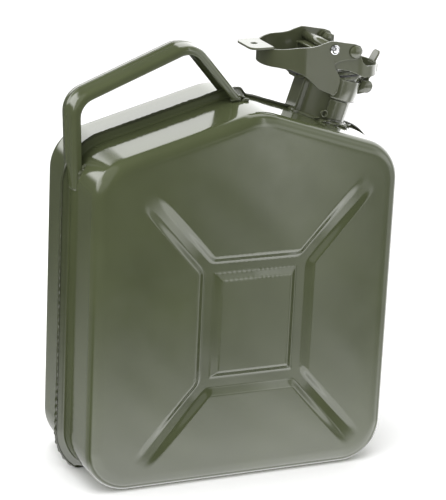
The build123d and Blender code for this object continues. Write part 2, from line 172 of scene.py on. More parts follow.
def enamel(name, dark, light, roughness, peel, edge=0.0):
    """Sprayed enamel: colour varies slowly between dark and light, surface ripples finely."""
    material, nodes, links, shader, place = new_material(name)
    slow = noise(nodes, links, place, 14.0, 3.0)
    links.new(ramp(nodes, links, slow, [(0.3, dark), (0.7, light)]), shader.inputs["Base Color"])
    spots = noise(nodes, links, place, 60.0, 4.0, 0.6)
    levels = [(0.25, (roughness * 0.85,) * 3), (0.8, (roughness * 1.3,) * 3)]
    links.new(ramp(nodes, links, spots, levels), shader.inputs["Roughness"])
    base = rounded(nodes, edge) if edge else None
    ripple = bump(nodes, links, noise(nodes, links, place, 420.0, 2.0), peel, 0.0002, base)
    links.new(ripple, shader.inputs["Normal"])
    shader.inputs["Specular IOR Level"].default_value = 0.55
    return material


OLIVE_DARK, OLIVE_LIGHT = (0.047, 0.055, 0.026), (0.060, 0.070, 0.033)
panel_paint = enamel("panel_enamel", OLIVE_DARK, OLIVE_LIGHT, 0.1, 0.03)
fitting_paint = enamel("fitting_enamel", (0.058, 0.064, 0.036), (0.074, 0.081, 0.045),
                       0.15, 0.10, 0.0006)
weld_paint = enamel("weld_enamel", (0.020, 0.023, 0.013), (0.050, 0.057, 0.028), 0.16, 0.5)


def rubber():
    """Black moulded rubber with a dusty bloom and a fine grain."""
    material, nodes, links, shader, place = new_material("seal_rubber")
    bloom = noise(nodes, links, place, 90.0, 4.0)
    shades = ramp(nodes, links, bloom, [(0.35, (0.012,) * 3), (0.75, (0.028,) * 3)])
    links.new(shades, shader.inputs["Base Color"])
    shader.inputs["Roughness"].default_value = 0.55
    grain = bump(nodes, links, noise(nodes, links, place, 900.0), 0.3, 0.0001)
    links.new(grain, shader.inputs["Normal"])
    return material


def plated(name, color, roughness):
    """Bright plated steel with faint drawn lines and a few duller patches."""
    material, nodes, links, shader, place = new_material(name)
    patches = noise(nodes, links, place, 120.0, 3.0)
    dull = tuple(c * 0.8 for c in color)
    links.new(ramp(nodes, links, patches, [(0.3, dull), (0.65, color)]), shader.inputs["Base Color"])
    shader.inputs["Metallic"].default_value = 1.0
    shader.inputs["Roughness"].default_value = roughness
    normal = rounded(nodes, 0.0004)
    drawn = bump(nodes, links, noise(nodes, links, place, 700.0), 0.15, 0.0001, normal)
    links.new(drawn, shader.inputs["Normal"])
    return material


seal_rubber = rubber()
zinc = plated("zinc_plating", (0.72, 0.73, 0.75), 0.22)
bare_steel = plated("bare_steel", (0.45, 0.45, 0.44), 0.35)
CAD_FINISH = {"olive_paint": fitting_paint, "black_rubber": seal_rubber,
              "zinc_plate": zinc, "plain_steel": bare_steel}
slots = {part["node"]: part["material_slot"] for part in frame["record"]["subparts"]}
for node_name, node in frame["nodes"].items():
    node.data.materials.clear()
    node.data.materials.append(CAD_FINISH[slots[node_name]])
print("materials", len(bpy.data.materials))

# %% [markdown]
# The can's outline seen from the front is five straight edges joined by round corners.  It is kept
# as evenly spaced stations, each with a point and the direction straight out, so that any surface
# that runs round the can is the same outline moved in or out.

# %% The outline as stations
CORNERS = np.array([(-115, 0), (115, 0), (115, 237.5), (7, 272), (-115, 237.5)], float)
CORNER_RADII = [31, 31, 31, 45, 31]
HALF_DEPTH, EDGE_ROUND, SEAM_GROWTH, RIB = 51.5, 10.0, 0.9, 6.0
EASE = 0.82  # below 1 the rolled edge starts and ends gently
RIB_DROP = 4.2  # how much lower the rib runs between the handle and the right corner


def rounded_line(corners, radii, step, closed):
    """Points and directions along straight runs joined by arcs that touch both runs."""
    corners = np.asarray(corners, float)
    count = len(corners)
    inner = range(count) if closed else range(1, count - 1)
    points = [] if closed else [corners[0]]
    for k in inner:
        here, before, after = corners[k], corners[k - 1], corners[(k + 1) % count]
        a, b = (before - here), (after - here)
        a, b = a / np.linalg.norm(a), b / np.linalg.norm(b)
        half = np.arccos(np.clip(a @ b, -1, 1)) / 2
        middle = (a + b) / np.linalg.norm(a + b)
        center = here + middle * radii[k] / np.sin(half)
        first, last = here + a * radii[k] / np.tan(half), here + b * radii[k] / np.tan(half)
        one, two = first - center, last - center
        sweep = np.arctan2(one[0] * two[1] - one[1] * two[0], one @ two)
        turn = np.linspace(0, sweep, 24)
        cos, sin = np.cos(turn), np.sin(turn)
        arc = np.stack([one[0] * cos - one[1] * sin, one[0] * sin + one[1] * cos], 1)
        points += list(center + arc)
    points = np.array(points + ([points[0]] if closed else [corners[-1]]))
    run = np.r_[0, np.cumsum(np.linalg.norm(np.diff(points, axis=0), axis=1))]
    stations = np.linspace(0, run[-1], int(run[-1] / step) + 1)
    stations = stations[:-1] if closed else stations
    xy = np.stack([np.interp(stations, run, points[:, c]) for c in (0, 1)], 1)
    nearby = 0.6

    def at(places):
        places = places % run[-1] if closed else np.clip(places, 0, run[-1])
        return np.stack([np.interp(places, run, points[:, c]) for c in (0, 1)], 1)

    along = at(stations + nearby) - at(stations - nearby)
    along /= np.linalg.norm(along, axis=1)[:, None]
    return xy, along, stations


edge_line, edge_along, edge_run = rounded_line(CORNERS, CORNER_RADII, 1.45, True)
edge_out = np.stack([edge_along[:, 1], -edge_along[:, 0]], 1)
on_right = smoothstep((edge_line[:, 0] - 9) / 5) * smoothstep((edge_line[:, 1] - 185) / 20)
rib_height = RIB - RIB_DROP * on_right
print("outline stations", len(edge_line), "length", round(edge_run[-1]))

# %% [markdown]
# The pressed pattern is a rectangular channel with an arm at each corner.  Its depth comes from the
# distance to the channel's edge: nothing outside, a smooth slope, then a flat floor.

# %% Depth of the pressed pattern
PATTERN = np.array([7.0, 118.0])
CHANNEL, SLOPE, PRESS_DEPTH = 17.5, 4.8, 3.1
FRAME_HALF = np.array([88.4, 103.4]) / 2 - CHANNEL / 2
ARM_TIP = np.array([85.0, 100.0])
ARM_HALF, ARM_FADE = 8.0, 0.15


def pressed_depth(x, z):
    """Depth of the pressing at a point: a smooth step of how far inside the channel it lies."""
    p = np.stack([np.abs(x - PATTERN[0]), np.abs(z - PATTERN[1])], -1)
    q = p - FRAME_HALF
    outside = np.linalg.norm(np.maximum(q, 0), axis=-1)
    inside = np.minimum(q.max(-1), 0)
    in_frame = CHANNEL / 2 - np.abs(outside + inside)
    axis = ARM_TIP - FRAME_HALF
    length = np.linalg.norm(axis)
    axis = axis / length
    along, across = q @ axis, np.abs(q[..., 0] * axis[1] - q[..., 1] * axis[0])
    in_arm = np.where(along < 0, -5.0, ARM_HALF - across)
    soft = 0.9
    top = np.maximum(in_frame, in_arm)
    low = np.minimum(in_frame, in_arm)
    joined = top + soft * np.log1p(np.exp(np.clip((low - top) / soft, -30, 0))) * (low > 0)
    share = np.clip(joined / SLOPE, 0, 1)
    step = 0.4 * share + 0.6 * smoothstep(share)
    return PRESS_DEPTH * step * (1 - smoothstep((along / length - ARM_FADE) / (1 - ARM_FADE)))


# %% [markdown]
# A half of the can is drawn from one flat blank: a face, a rolled edge, a side wall that widens by a
# degree towards the seam, and a flange.  The grid runs from the middle of the face outwards; the
# last rows turn back inside to give the sheet a second skin.

# %% The two pressed shells
rs = np.arctan2(272.0 - 237.5, 115.0 - 7.0)  # slope of the right shoulder
MOUTH = np.array([7 + 34.8 * np.sin(rs) + 67.6 * np.cos(rs), 0,
                  272 + SEAM_GROWTH - 67.6 * np.sin(rs) + 34.8 * np.cos(rs)])
NECK_AXIS = np.array([np.sin(rs), 0, np.cos(rs)])
NECK_SIDE = np.array([np.cos(rs), 0, -np.sin(rs)])


def neck_radius_at(points):
    """Distance from the neck's axis; points below the bend of the shoulder only."""
    q = points - MOUTH
    return np.hypot(q @ NECK_SIDE, points[:, 1])


def outside_neck(points):
    near = (points[:, 2] > 225) & (points[:, 0] > 20)
    return ~((neck_radius_at(points) < 19.2) & near)


def shell_grid(sign):
    """Rows of the outline scaled, rounded, drawn back along the wall and turned out to the flange."""
    middle = PATTERN
    rows = []
    for share in np.r_[0, np.linspace(0.06, 0.2, 4), np.linspace(0.22, 0.98, 104), 1.0]:
        flat = middle + share * (edge_line - EDGE_ROUND * edge_out - middle)
        depth = pressed_depth(flat[:, 0], flat[:, 1])
        waves = 0.12 * sine_noise(flat[:, 0] / 45, flat[:, 1] / 45, 3) * smoothstep((1 - share) * 4)
        rows.append(np.c_[flat[:, 0], -HALF_DEPTH + depth + waves, flat[:, 1]])
    reach = EDGE_ROUND + SEAM_GROWTH * EDGE_ROUND / HALF_DEPTH
    profile = [(-EDGE_ROUND + reach * np.sin(a) ** EASE,
                -HALF_DEPTH + EDGE_ROUND * (1 - np.cos(a) ** EASE))
               for a in np.radians(np.linspace(0, 89.5, 16))[1:]]
    profile += [(SEAM_GROWTH * (1 + y / HALF_DEPTH), y)
                for y in (-38, -30, -20, -12, -9, -7.5, -6, -4.5, -3, -2.6)]
    profile += [(SEAM_GROWTH + 1.6 * (1 - np.cos(a)), -2.6 + 1.6 * np.sin(a))
                for a in np.radians([22, 45, 68, 90])]
    profile += [("rib", -0.5, -1.0), ("rib", 0.0, -0.6), ("rib", 0.0, 0.0)]
    profile += [(-1.0, 0.0), (-1.0, -8.0), (-1.2, -40.0), (-6.0, -46.0), (-30.0, -46.2), (-60.0, -46.2)]
    for *kind, offset, y in profile:
        offset = offset + (SEAM_GROWTH + rib_height if kind else 0 * rib_height)
        place = edge_line + offset[:, None] * edge_out
        rows.append(np.c_[place[:, 0], np.full(len(place), y), place[:, 1]])
    last = middle + 0.001 * (edge_line - middle)
    rows.append(np.c_[last[:, 0], np.full(len(last), -46.2), last[:, 1]])
    grid = np.array(rows)
    y = np.abs(grid[..., 1])
    recess = np.clip((9.0 - y) / 6.0, 0, 1) * 6.8
    flange = (y < 1.05) & (np.arange(len(rows)) < len(rows) - 7)[:, None]
    floor = np.where(flange, 0.9, recess)
    grid[..., 2] = np.maximum(grid[..., 2], floor)
    grid[..., 1] *= -sign
    return grid


for shell_name, sign in (("front_shell", -1), ("back_shell", 1)):
    grid = shell_grid(sign)
    make_piece(shell_name + "_pressing", [(grid, grid_faces(*grid.shape[:2], wrap_cols=True))], "can",
               panel_paint, [shell_name], keep=outside_neck)

# %% [markdown]
# The flange edges are joined by a resistance weld: a narrow, slightly jagged bead.  Its section is a
# half round whose height and width change along the way.

# %% The seam bead
def bead_grid():
    """Half round section carried along the outline; noise along the run changes its size."""
    step = edge_run
    rough = np.abs(sine_noise(step * 0.9, seed=5)) * smoothstep(1.4 - np.abs(edge_line[:, 0] + 40) / 60)
    low_left = smoothstep((70 - edge_line[:, 1]) / 20) * (edge_line[:, 0] < -90)
    ladder = np.maximum(np.sin(step * 1.1), 0) * low_left
    rough = np.where(edge_line[:, 1] > 200, rough, 0.25 * rough + 0.15 + 1.3 * ladder)
    turn = np.radians(np.linspace(0, 180, 9))
    rows = []
    for a in turn:
        swell = (1.2 + 0.55 * rough + 0.12 * sine_noise(step * 0.5, seed=8)) * np.sin(a)
        height = SEAM_GROWTH + rib_height - 0.5 + swell
        side = (1.45 + 1.1 * on_right + 0.25 * sine_noise(step * 0.7 + a, seed=9)) * np.cos(a)
        place = edge_line + height[:, None] * edge_out
        rows.append(np.c_[place[:, 0], side, place[:, 1]])
    grid = np.array(rows)
    grid[..., 2] = np.maximum(grid[..., 2], 0.8)
    return grid


grid = bead_grid()
make_piece("seam_bead", [(grid, grid_faces(*grid.shape[:2], wrap_rows=True, wrap_cols=True))], "can",
           weld_paint, ["seam_weld"], keep=outside_neck)

# %% [markdown]
# The handle is a strip of sheet folded into a channel and bent round.  A sheet surface is carried
# along the bent line, with a vee cut at its left foot where it straddles the seam.  The front fold
# is tight and the back fold is wide.  A Solidify modifier gives it the sheet's thickness.

# %% The channel handle
HANDLE_LINE = [(-117.8, 214.0), (-121.2, 279.0), (-30.4, 316.6), (14.0, 264.2)]
HANDLE_HALF, FRONT_FOLD, BACK_FOLD, FLANGE_DEPTH = 13.5, 3.4, 8.6, 6.4


def handle_half(side):
    """Half section, from the slot or middle line over the fold to the flange's edge, swept along."""
    fold = FRONT_FOLD if side < 0 else BACK_FOLD
    flat = HANDLE_HALF - fold
    drop = min(fold, 4.6)
    line, along, run = rounded_line(HANDLE_LINE, [0, 20, 20, 0], 1.2, False)
    out = np.stack([-along[:, 1], along[:, 0]], 1)
    slot = np.where(run < 40, np.clip((237.5 - line[:, 1]) / 32.5, 0, 1) * 5.2, 0)
    rows = []
    for share in np.linspace(0, 1, 15):
        y = slot + (flat - slot) * share
        rows.append((y, 0.5 * np.exp(-(y / 1.5) ** 2) - 0.7 * (y / flat) ** 2))
    for a in np.radians(np.linspace(0, 90, 13))[1:]:
        rows.append((flat + fold * np.sin(a), -0.7 - drop * (1 - np.cos(a))))
    for depth in (6.0, FLANGE_DEPTH + 0.4):
        rows.append((HANDLE_HALF, -depth))
    grid = []
    for y, rise in rows:
        place = line + (np.zeros(len(line)) + rise)[:, None] * out
        grid.append(np.c_[place[:, 0], side * (np.zeros(len(line)) + y), place[:, 1]])
    return np.array(grid)


halves = [handle_half(-1), handle_half(1)]
handle = make_piece("handle_channel", [(g, grid_faces(*g.shape[:2])) for g in halves], "can",
                    panel_paint, ["carry_handle"])
sheet = handle.modifiers.new("sheet", "SOLIDIFY")
sheet.thickness = 1.5 * MM
sheet.offset = -1
print("handle length", round(float(np.ptp(halves[0][0][:, 0]))))

# %% [markdown]
# Weld metal is uneven.  Each run is a chain of overlapping beads: spheres whose radius changes with
# a sum of sines, squeezed against the steel they join.

# %% Welds at the handle's feet
def lump(center, size, seed):
    """Closed bead: a sphere in polar angles, its radius changed by noise, stretched along the axes."""
    a = np.linspace(0, np.pi, 14)[:, None]
    b = np.linspace(0, 2 * np.pi, 24, endpoint=False)[None, :]
    radius = 1 + 0.28 * sine_noise(3 * np.cos(a) + 0 * b, 2.2 * np.sin(a) * np.cos(b + seed), seed)
    unit = np.stack([np.sin(a) * np.cos(b), np.sin(a) * np.sin(b), np.cos(a) + 0 * b], -1)
    return np.asarray(center, float) + unit * radius[..., None] * np.asarray(size, float)


FEET = [((-112.5, 14.0, 223.5), (2.4, 1.9, 6.5)), ((-112.2, 14.0, 217.0), (1.8, 1.6, 3.6)),
        ((-110.5, 14.3, 229.5), (2.2, 1.6, 3.4)),
        ((2.0, 12.6, 271.6), (4.2, 2.6, 1.8)), ((6.0, 9.0, 272.6), (3.6, 3.2, 1.8)),
        ((3.0, 5.0, 273.2), (3.2, 2.8, 1.9)), ((8.5, 13.5, 271.0), (3.0, 1.8, 1.6))]
runs = []
for k, (center, size) in enumerate(FEET):
    for side in (-1, 1):
        grid = lump((center[0], side * center[1], center[2]), size, 11 + 2 * k + side)
        runs.append((grid, grid_faces(*grid.shape[:2], wrap_cols=True)))
make_piece("handle_weld_runs", runs, "can", weld_paint, ["handle_welds"])

# %% [markdown]
# The neck is a drawn tube with a breather channel pressed along its handle side, so its section is
# a circle joined to a flat-topped ridge.  The tube stands square to the shoulder, but its rim is cut
# level with the ground.

# %% The neck tube and its weld
def neck_section(angle, radius, reach, half):
    """Distance from the axis at each angle: the larger of the circle and the breather's box."""
    c, s = np.cos(angle), np.sin(angle)
    toward = np.maximum(-c, 1e-6)
    box = np.minimum(reach / toward, half / np.maximum(np.abs(s), 1e-6))
    in_box = half / np.maximum(np.abs(s), 1e-6) > radius
    return np.where(c < 0, np.maximum(radius, np.where(in_box, box, 0)), radius)


def around_neck(radius, angle, height):
    """Point from polar place about the neck's axis, height measured along it from the mouth."""
    u, v = radius * np.cos(angle), radius * np.sin(angle)
    return MOUTH + u[:, None] * NECK_SIDE + np.c_[0 * v, v, 0 * v] + height[:, None] * NECK_AXIS


around = np.sort(np.r_[np.linspace(0, 2 * np.pi, 160, endpoint=False),
                       np.pi + np.linspace(-0.44, 0.44, 60)])
outer = neck_section(around, 20.0, 23.5, 8.0)
inner = neck_section(around, 18.5, 22.0, 6.5)
rim_out = (-2.05 + outer * np.cos(around) * np.sin(rs)) / np.cos(rs)
rim_in = (-2.05 + inner * np.cos(around) * np.sin(rs)) / np.cos(rs)
rows = [around_neck(outer, around, -38.8 + (rim_out + 38.8) * t) for t in np.linspace(0, 1, 24)]
rows += [around_neck(inner, around, rim_in + (-38.8 - rim_in) * t) for t in np.linspace(0, 1, 24)]
grid = np.array(rows)
make_piece("neck_drawing", [(grid, grid_faces(*grid.shape[:2], wrap_rows=True, wrap_cols=True))], "can",
           fitting_paint, ["neck_tube"])

rows = []
for a in np.radians(np.linspace(0, 360, 12, endpoint=False)):
    swell = 2.0 + 0.55 * sine_noise(9 * np.cos(around) + 3, 9 * np.sin(around), 21)
    radius = outer + 0.2 + swell * np.cos(a)
    wander = 0.25 * sine_noise(16 * np.cos(around), 16 * np.sin(around), 4)
    height = -34.9 + 0.15 + swell * 0.85 * np.sin(a) + wander
    rows.append(around_neck(radius, around, height))
grid = np.array(rows)
make_piece("neck_weld_run", [(grid, grid_faces(*grid.shape[:2], wrap_rows=True, wrap_cols=True))], "can",
           fitting_paint, ["neck_weld"])

# %% [markdown]
# The weld at the neck leaves bright ridges of metal that splashed over the shoulder.  They are
# small squeezed spheres set round the front of the weld.

# %% Weld splashes round the neck
splashes = []
for k, (turned_to, level, size) in enumerate([(-118, -33.4, 1.0), (-106, -34.6, 1.3), (-96, -33.2, 0.9),
                                              (-86, -34.8, 1.2), (-74, -33.6, 1.0), (-60, -34.6, 1.3),
                                              (-40, -33.8, 1.1), (-20, -34.4, 1.2)]):
    a, radius = np.radians(turned_to), 22.6 + 0.5 * (k % 2)
    center = MOUTH + radius * np.cos(a) * NECK_SIDE + level * NECK_AXIS
    center = center + np.array([0, radius * np.sin(a), 0])
    grid = lump(center, (2.4 * size, 1.0 * size, 0.7 * size), 40 + k)
    splashes.append((grid, grid_faces(*grid.shape[:2], wrap_cols=True)))
make_piece("neck_weld_splashes", splashes, "can", fitting_paint)

# %% [markdown]
# The lid is a stack: a rubber ring over the mouth, a pressed pan with a rolled rim, and a low dome
# behind the bridge.  All of it lies level, so its points are given from the middle of the mouth.

# %% The lid's pan and its rubber ring
def closure(x, y, z):
    """Points of the closure from arrays measured from the middle of the mouth."""
    x, y, z = np.broadcast_arrays(x, y, z)
    return MOUTH + np.stack([x, y, z], -1)


def tongue_rings(profile, radius, reach, half):
    """Closed rings: the round and tongue outline shrunk by each inset, at each height."""
    rows = []
    for inset, z in profile:
        share = max(radius - inset, 0) / radius
        edge = neck_section(around, radius, reach, half) - inset if share > 0.5 else \
            neck_section(around, radius, reach, half) * share
        rows.append(closure(edge * np.cos(around), edge * np.sin(around), z))
    return np.array(rows)


pan = [(21.79, 2.4), (15, 2.4), (1.5, 2.4), (1.2, 2.2), (1.0, 1.0), (0.5, 0.8), (0.1, 1.1),
       (0.0, 1.6), (0.0, 2.7)]
pan += [(0.9 * (1 - np.cos(a)), 2.7 + 0.9 * np.sin(a)) for a in np.radians([20, 45, 70, 90])]
pan += [(inset, 3.6) for inset in (2.0, 3.5, 5, 6.5, 8, 9.5, 12.0, 14.0, 16.0, 18.0, 20.0, 21.79)]
grid = tongue_rings(pan, 21.8, 31.4, 7.4)
local = grid - MOUTH
dome = 2.6 * smoothstep(1.15 - np.hypot((local[..., 0] - 12.2) / 8.0, local[..., 1] / 16.0))
grid[..., 2] += np.where(np.arange(len(pan))[:, None] > 12, dome, 0)
make_piece("lid_pan_pressing", [(grid, grid_faces(*grid.shape[:2], wrap_cols=True))], "lid",
           fitting_paint, ["lid_pan"])
ring = [(0.3, 0.1), (0.0, 0.5), (0.0, 1.0), (0.5, 1.2), (0.5, 1.5), (0.9, 1.9), (1.4, 2.35),
        (6.5, 2.35), (6.8, 1.2), (6.5, 0.1)]
grid = tongue_rings(ring, 22.3, 32.3, 7.9)
make_piece("lid_rubber_ring", [(grid, grid_faces(*grid.shape[:2], wrap_rows=True, wrap_cols=True))],
           "lid", seal_rubber, ["lid_gasket"])

# %% [markdown]
# A strap of folded sheet runs from the two pivot rivets round the back of the neck.  It is a level
# U-shaped line with a lower and an upper edge that rise and fall along it; Solidify and a small
# Bevel make it a pressed strip with softened edges.

# %% The strap, its stop and the hinge leaf
STRAP_RADIUS, STRAP_MIDDLE = 23.6, 8.0


def sheet_piece(name, grids, body, thickness, replaced=(), edge=0.35, keep=None):
    """Open grids given a sheet's thickness on their inner side, with small rounded edges."""
    parts = [(g, grid_faces(*g.shape[:2])) for g in grids]
    piece = make_piece(name, parts, body, fitting_paint, replaced, keep)
    sheet = piece.modifiers.new("sheet", "SOLIDIFY")
    sheet.thickness, sheet.offset = thickness * MM, 0
    bevel = piece.modifiers.new("edges", "BEVEL")
    bevel.width, bevel.segments, bevel.limit_method = edge * MM, 2, "ANGLE"
    bevel.angle_limit = np.radians(50)
    return piece


bend = np.linspace(-np.pi / 2, np.pi / 2, 40)
legs = np.linspace(-11, STRAP_MIDDLE - 0.4, 30)
strap_x = np.r_[legs, STRAP_MIDDLE + STRAP_RADIUS * np.cos(bend), legs[::-1]]
strap_y = np.r_[0 * legs - STRAP_RADIUS, STRAP_RADIUS * np.sin(bend), 0 * legs + STRAP_RADIUS]
low = np.interp(strap_x, [-11, -3, 3, 8, 14, 32], [7.2, 6.0, 4.4, 2.2, -0.6, -1.2])
high = np.interp(strap_x, [-11, -3, -0.8, 9.2, 10.4, 15, 32], [12.4, 13.5, 19.1, 19.1, 12.0, 7.8, 6.0])
eye = np.sqrt(np.clip(25 - (strap_x - 4.2) ** 2, 0, None))
high = np.where(np.abs(strap_x - 4.2) < 5, 19.1 + eye, high)
share = smoothstep(np.linspace(0, 1, 9))[:, None]
strap = closure(strap_x, strap_y, low + (high - low) * share)
sheet_piece("yoke_strap_strip", [strap], "lid", 1.3, ["yoke_strap"])

across, rise = np.linspace(-1, 1, 13)[None, :], np.linspace(0, 1, 10)[:, None]
width = 4.6 * np.sqrt(np.clip(1 - np.clip((rise - 0.7) / 0.32, 0, 1) ** 2 * 0.75, 0, 1))
stop = closure(31.0 + 4.4 * rise ** 1.3, across * width, 4.5 + 8.6 * rise)
sheet_piece("strap_stop", [stop], "lid", 1.3)

LEAF_LINE = [(24.6, -10.7), (24.9, -5.0), (30.9, -0.5), (30.9, 5.0)]
leaf_line, _, _ = rounded_line(LEAF_LINE, [0, 3, 2, 0], 0.5, False)
leaf = closure(leaf_line[:, 0][:, None], np.linspace(-8.7, 8.7, 12)[None, :], leaf_line[:, 1][:, None])
turn = np.radians(np.linspace(90, 430, 26))
knuckle = closure((22.7 + 2.7 * np.sin(turn))[:, None], np.linspace(-8.7, 8.7, 12)[None, :],
                  (-10.72 - 2.7 * np.cos(turn))[:, None])
sheet_piece("hinge_leaf_fold", [leaf, knuckle], "lid", 1.1, ["hinge_leaf"], 0.2)

# %% [markdown]
# The lever is one strip bent into a long U with a thumb tab.  Its cheek is a ruled surface: each rib
# joins a point of the lower outline to a point of the upper one, in a flat plan where the first
# number is the distance along the strip; the plan is then wrapped round the nose.

# %% The lever
LEVER_RADIUS, NOSE_X = 24.85, -31.9


def along_strip(x):
    """Distance along the strip for a place in x: straight behind the nose's start, then an arc."""
    share = np.clip((NOSE_X - x) / LEVER_RADIUS, 0, 1)
    return np.where(x >= NOSE_X, x - NOSE_X, -LEVER_RADIUS * np.arcsin(share))


def resample(points, marks, count):
    """Points spread along a broken line so that each listed corner keeps its mark."""
    t = np.linspace(marks[0], marks[-1], count)
    return np.stack([np.interp(t, marks, np.array(points)[:, c]) for c in (0, 1)], 1)


RIBS = [(-56.75, 8.4, -56.75, 20.4), (-50.5, 8.9, -50.5, 21.8), (-42.7, 8.1, -43, 23.0),
        (-34.8, 4.7, -38, 23.7), (-29, -0.7, -34, 23.8), (-22.5, -6.4, -30, 23.9),
        (-14.4, -10.1, -27, 24.2), (-10.9, -11.9, -25, 24.6),
        (-8.4, -9.5, -23.5, 24.9), (-6.5, -3, -22, 25.4), (-6.3, 1, -20.5, 26.0),
        (-10.3, 7.4, -17, 27.0), (-11.2, 10.6, -14.3, 27.7), (-9.0, 12.4, -11.0, 27.3),
        (-3, 13.6, -5, 26.2), (4.2, 13.4, 3.5, 24.8),
        (8.2, 15.1, 8.0, 23.2), (9.8, 18.2, 9.8, 20.2)]
ribs = np.array(RIBS, float)
ribs[:, 0], ribs[:, 2] = along_strip(ribs[:, 0]), along_strip(ribs[:, 2])
marks = np.r_[0, np.cumsum(np.hypot(np.diff(ribs[:, 0]), np.diff(ribs[:, 1])) + 0.01)]
lower, upper = resample(ribs[:, :2], marks, 150), resample(ribs[:, 2:], marks, 150)
share = smoothstep(np.linspace(0, 1, 11))[:, None, None]
flat = lower + (upper - lower) * share
turned_by = np.clip(-flat[..., 0] / LEVER_RADIUS, 0, np.pi / 2)
NOSE_EASE = 0.86  # below 1 the nose is a little squarer than a half circle
round_x = NOSE_X - LEVER_RADIUS * np.sin(turned_by) ** NOSE_EASE
lever_x = np.where(flat[..., 0] >= 0, NOSE_X + flat[..., 0], round_x)
lever_y = LEVER_RADIUS * np.cos(turned_by) ** NOSE_EASE
tip_y = 1 - smoothstep((flat[..., 0] - flat[..., 0].min()) / 1.5)
lever_y = lever_y * (1 - tip_y)
cheeks = [closure(lever_x, side * lever_y, flat[..., 1]) for side in (-1, 1)]
TAB_MIDDLE, TAB_LEVEL, TAB_HOLE_RADIUS = -61.5, 22.3, 2.3
angle = np.radians(-1.0)
run, wide = np.linspace(0, 1, 46)[:, None], np.linspace(-1, 1, 71)[None, :]
corner = np.clip(1 - run / 0.36, 0, 1)
half = 15.0 - 6.0 * (1 - np.sqrt(np.clip(1 - corner ** 2, 0, 1)))
tab_run = run * 17.0 - 9.5
tab = closure(TAB_MIDDLE + tab_run * np.cos(angle) + 0 * wide, half * wide,
              TAB_LEVEL - tab_run * np.sin(angle) + 0 * wide)
hole = closure(TAB_MIDDLE - 1.5, 0, 22.5)


def outside_tab_hole(points):
    return np.linalg.norm(points - hole, axis=1) > TAB_HOLE_RADIUS


sheet_piece("lever_strip", cheeks, "lever", 1.5, ["lever"], 0.3)
sheet_piece("lever_thumb_tab", [tab], "lever", 1.5, (), 0.3, keep=outside_tab_hole)

# %% [markdown]
# The lid's bridge stands on the pan: two side cheeks hold the pivot rivets, a floor is riveted to
# the pan, and a top plate takes the push of the lever's pin.

# %% The bridge on the lid
bridge_low = np.array([(-20, 3.6), (-8, 3.6), (-2, 11.0), (4, 13.5), (9.5, 16.1)], float)
bridge_high = np.array([(-20, 18.0), (-8, 18.0), (-1, 18.2), (2.9, 23.6), (9.5, 21.0)], float)
share = np.linspace(0, 1, 8)[:, None, None]
low_line, high_line = (resample(line, [0, 1, 2, 3, 4], 40) for line in (bridge_low, bridge_high))
side_face = low_line * (1 - share) + high_line * share
bridge_sides = [closure(side_face[..., 0], side * 20.4, side_face[..., 1]) for side in (-1, 1)]
along, wide = np.linspace(-20, -1, 18)[:, None], np.linspace(-1, 1, 25)[None, :]
drop = 2.2 * np.clip((np.abs(wide) - 0.86) / 0.14, 0, 1) ** 2
bridge_top = closure(along + 0 * wide, 20.2 * wide, 18.1 - drop)
bridge_floor = closure(np.linspace(-20, 4, 12)[:, None] + 0 * wide, 20.2 * wide, 4.35)
sheet_piece("lid_bridge_folds", bridge_sides + [bridge_top, bridge_floor], "lid", 1.5,
            ["lid_bridge"], 0.3)

# %% [markdown]
# The collar is a band round the back half of the neck.  Two ears stand out from it and hold the
# hinge pin; on the front a small curved plate carries the eyelet for a seal wire.

# %% Collar, ears and seal plate
turn = np.radians(np.linspace(-108, 108, 80))[None, :]
level = np.linspace(-17.0, -1.8, 12)[:, None]
swell = 0.35 * np.sin(np.pi * (level + 17.0) / 15.2)


def on_neck(radius, angle, height):
    """Points about the neck's axis from whole arrays of radius, angle and height."""
    radius, angle, height = np.broadcast_arrays(radius, angle, height)
    grid = around_neck(radius.ravel(), angle.ravel(), height.ravel())
    return grid.reshape(*radius.shape, 3)


collar = on_neck(21.2 + swell, turn, level)
sheet_piece("hinge_collar", [collar], "can", 1.6, ["hinge_bracket"], 0.4)


PIN_OUT, PIN_LEVEL = 24.9, -3.3  # the hinge pin from the neck's axis and from the mouth


def ear_plate(side):
    """Closed plate with round edges: a tongue outline shrunk near its two faces."""
    t = np.radians(np.linspace(-90, 90, 24))
    outline_u = np.r_[PIN_OUT + 4.6 * np.cos(t), 19.6, 19.6]
    outline_w = np.r_[PIN_LEVEL + 4.6 * np.sin(t), PIN_LEVEL + 4.6 - 2.0, PIN_LEVEL - 4.6 - 2.4]
    rows = []
    for inset, y in [(0.99, 9.2), (0.06, 9.2), (0.0, 9.5), (0.0, 11.0), (0.06, 11.35), (0.99, 11.35)]:
        u, w = 23.5 + (outline_u - 23.5) * (1 - inset), -3.6 + (outline_w + 3.6) * (1 - inset)
        rows.append(MOUTH + u[:, None] * NECK_SIDE + w[:, None] * NECK_AXIS + np.array([0, side * y, 0]))
    return np.array(rows)


ears = [ear_plate(side) for side in (-1, 1)]
make_piece("hinge_ears", [(g, grid_faces(*g.shape[:2], wrap_cols=True)) for g in ears], "can",
           fitting_paint)
turn = np.linspace(0, 2 * np.pi, 32, endpoint=False)
profile = [(-11.3, 0.01), (-11.3, 1.6), (-10.9, 2.0), (10.9, 2.0), (11.3, 1.6), (11.3, 0.01)]
rows = [MOUTH + (PIN_OUT + r * np.cos(turn))[:, None] * NECK_SIDE
        + (PIN_LEVEL + r * np.sin(turn))[:, None] * NECK_AXIS + np.array([0, y, 0]) for y, r in profile]
grid = np.array(rows)
make_piece("hinge_pin_turned", [(grid, grid_faces(*grid.shape[:2], wrap_cols=True))], "can",
           fitting_paint, ["hinge_pin"])

